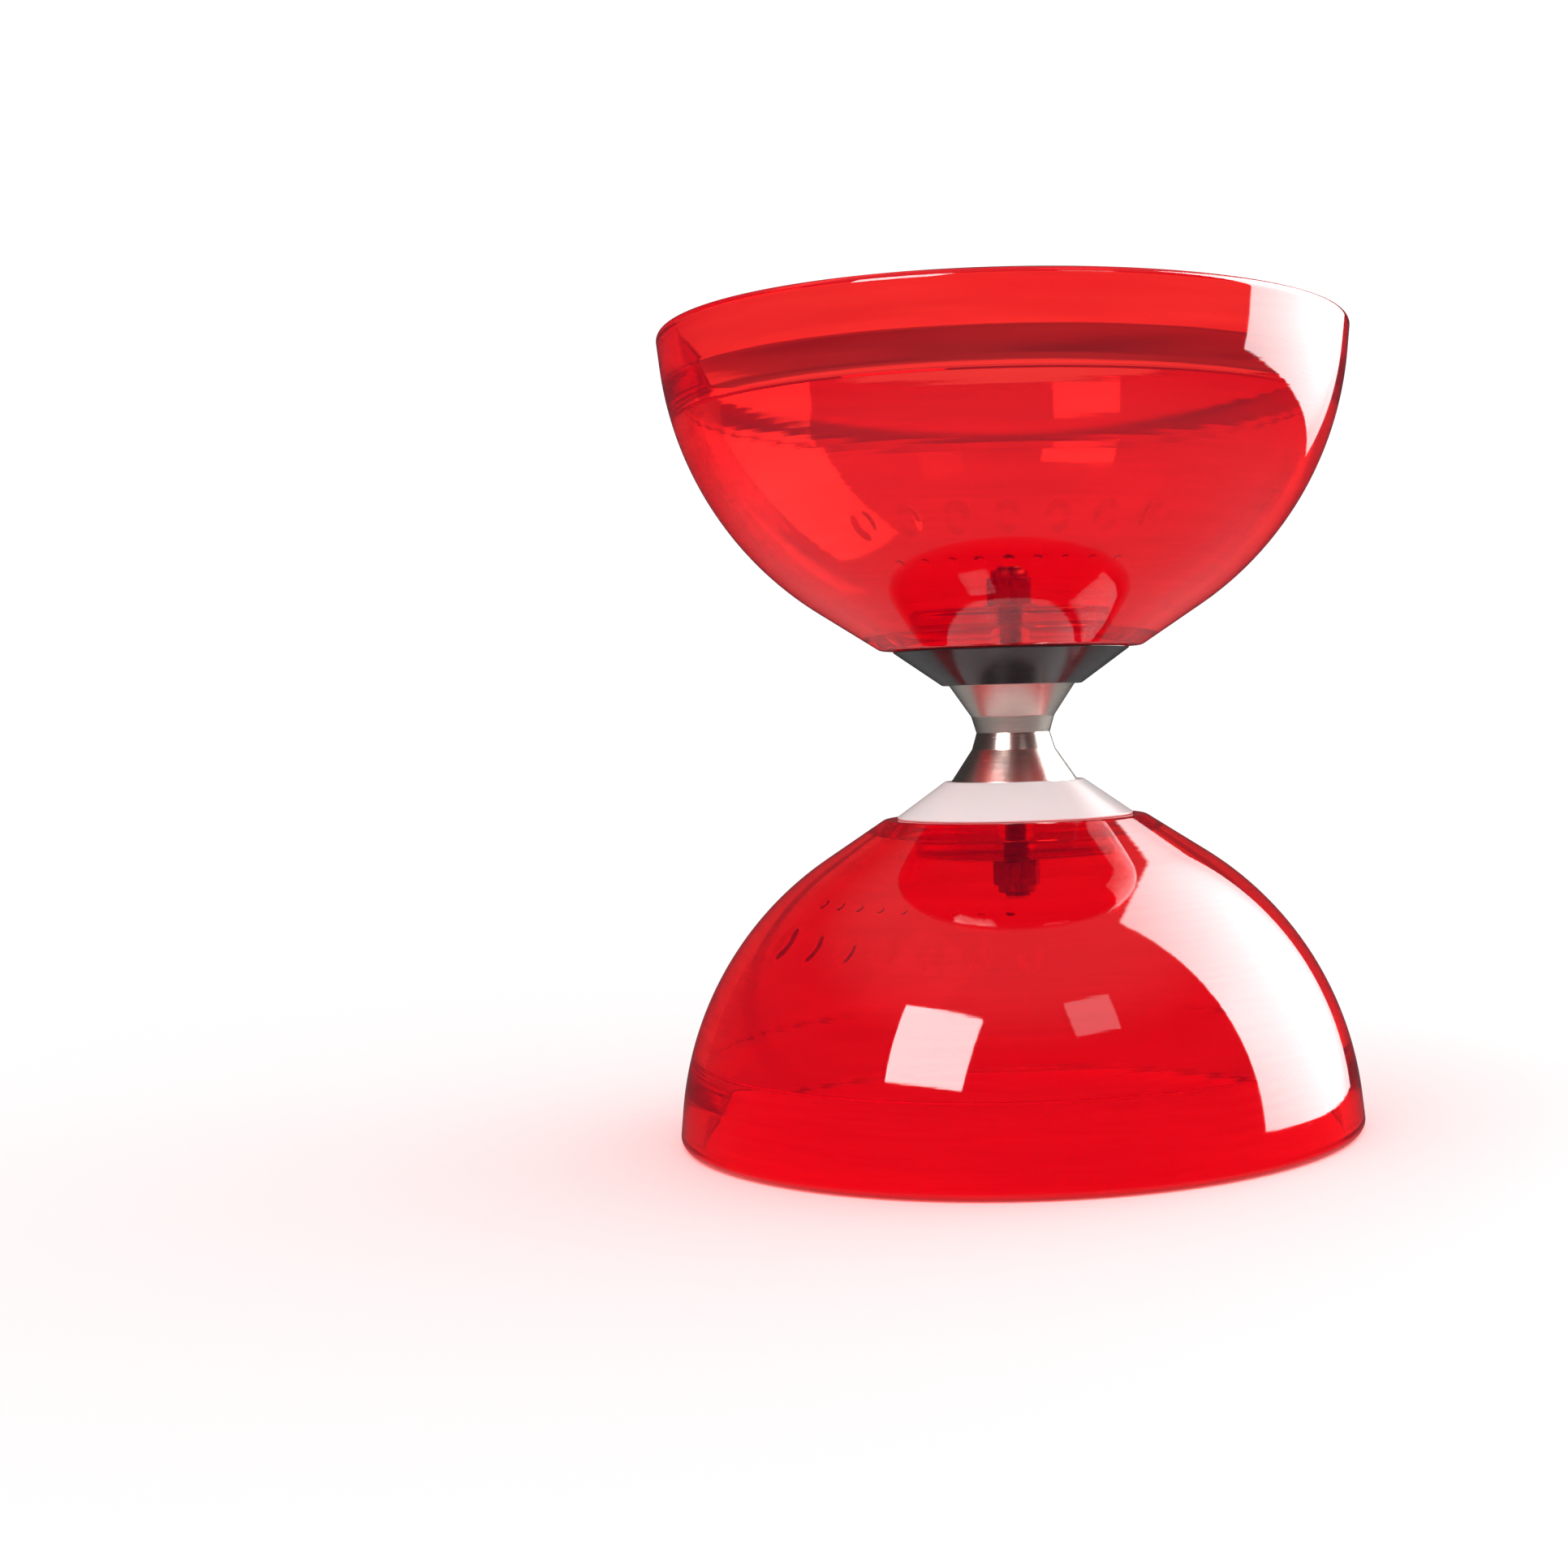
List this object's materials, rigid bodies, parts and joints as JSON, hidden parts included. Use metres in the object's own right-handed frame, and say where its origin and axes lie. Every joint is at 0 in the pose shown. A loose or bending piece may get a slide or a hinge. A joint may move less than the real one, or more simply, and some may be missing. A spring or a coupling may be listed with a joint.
{
  "type": "diabolo",
  "caption": "Juggling diabolo with translucent red cups on plastic collars and a turned metal fixed axle, clamped by a through rod with lock nuts.",
  "frame": {"origin": "centre of the axle's waist, which is the centre of the whole diabolo", "axes": "+Z along the spin axis, towards the cup on the black collar; -Z towards the cup on the white collar, on whose rim it stands"},
  "size_m": [0.125, 0.125, 0.145],
  "materials": {
    "red_cup": "clear red, glossy",
    "black_collar": "glossy",
    "white_collar": "glossy, slightly translucent",
    "turned_steel": "fine turning marks",
    "zinc_steel": "zinc plated",
    "nylon": "matt"
  },
  "bodies": {
    "root": {"upper_cup": "red_cup", "lower_cup": "red_cup", "upper_collar": "black_collar", "lower_collar": "white_collar", "axle_spool": "turned_steel", "threaded_rod": "zinc_steel", "upper_washer": "zinc_steel", "lower_washer": "zinc_steel", "upper_lock_nut": "zinc_steel", "lower_lock_nut": "zinc_steel", "upper_nut_insert": "nylon", "lower_nut_insert": "nylon"}
  },
  "joints": []
}
